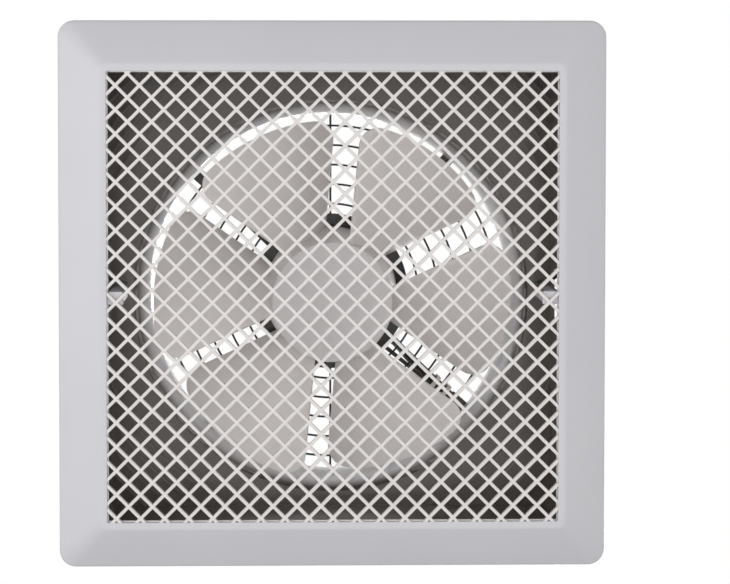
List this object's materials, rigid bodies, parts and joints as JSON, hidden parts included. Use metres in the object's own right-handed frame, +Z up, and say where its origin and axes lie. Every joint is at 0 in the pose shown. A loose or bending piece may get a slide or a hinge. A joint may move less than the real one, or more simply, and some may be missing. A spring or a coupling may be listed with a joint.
{
  "type": "ceiling exhaust fan",
  "caption": "Square ceiling exhaust fan with a diagonal lattice cover, bell-mouth ring, pitched-blade impeller and rear-mounted motor on a wire guard.",
  "frame": {"origin": "centre of the housing flange's upper face, which bears on the ceiling", "axes": "+Z up into the ceiling void; the grille faces -Z, into the room; X and Y along the square's sides; the fan's axis is parallel to Z, 6 mm to +Y of the origin"},
  "size_m": [0.364, 0.364, 0.1418],
  "materials": {
    "frame_plastic": "moulded pale grey-white ABS, satin",
    "grille_plastic": "moulded warm white ABS, satin",
    "pan_plastic": "moulded dark warm grey plastic, semi-gloss",
    "blade_plastic": "moulded warm off-white plastic, satin",
    "ring_plastic": "moulded pale violet-grey plastic, dark toward its outer lip, semi-gloss",
    "cap_plastic": "moulded grey-white plastic, satin",
    "black_enamel": "black enamelled steel, semi-gloss",
    "spring_steel": "blued spring steel",
    "zinc_steel": "zinc-plated steel",
    "ground_steel": "ground bright steel",
    "core_steel": "varnished electrical steel laminations",
    "copper_enamel": "enamelled copper wire",
    "rubber": "moulded black rubber",
    "lead_sheath": "black PVC sheath",
    "white_nylon": "natural white nylon",
    "box_plastic": "moulded black plastic",
    "capacitor_case": "moulded pale grey case, bare",
    "brass": "turned brass"
  },
  "bodies": {
    "cover": {"front_frame": "frame_plastic", "grille_insert": "grille_plastic"},
    "housing": {"housing_pan": "pan_plastic", "orifice_ring": "ring_plastic", "ring_screws": "zinc_steel", "rear_guard": "black_enamel", "guard_screws": "zinc_steel", "spring_clip_right": "spring_steel", "spring_clip_left": "spring_steel", "clip_screws": "zinc_steel", "front_bearing": "ground_steel", "rear_bearing": "ground_steel", "motor_front_shell": "black_enamel", "motor_rear_shell": "black_enamel", "stator_core": "core_steel", "stator_windings": "copper_enamel", "thermal_fuse": "white_nylon", "motor_bolts": "zinc_steel", "motor_nuts": "zinc_steel", "motor_grommets": "rubber", "terminal_box": "box_plastic", "box_lid": "box_plastic", "lid_screws": "zinc_steel", "box_screws": "zinc_steel", "terminal_block": "white_nylon", "terminal_screws": "brass", "earth_screw": "brass", "cable_gland": "box_plastic", "motor_lead": "lead_sheath", "lead_bush": "rubber", "lead_ties": "white_nylon", "capacitor": "capacitor_case", "capacitor_strap": "zinc_steel", "capacitor_screw": "zinc_steel", "capacitor_lead": "lead_sheath", "lead_saddles": "white_nylon"},
    "fan": {"impeller": "blade_plastic", "hub_cap": "cap_plastic", "impeller_washer": "zinc_steel", "impeller_nut": "zinc_steel", "motor_shaft": "ground_steel", "drive_pin": "ground_steel", "rotor": "core_steel"}
  },
  "joints": [
    {"name": "fan_spin", "type": "hinge", "parent": "housing", "child": "fan", "pos_m": [0, 0.006, 0.03], "axis": [0, 0, -1], "continuous": true},
    {"name": "cover_pull", "type": "slide", "parent": "housing", "child": "cover", "axis": [0, 0, -1], "range_m": [0, 0.06]}
  ]
}
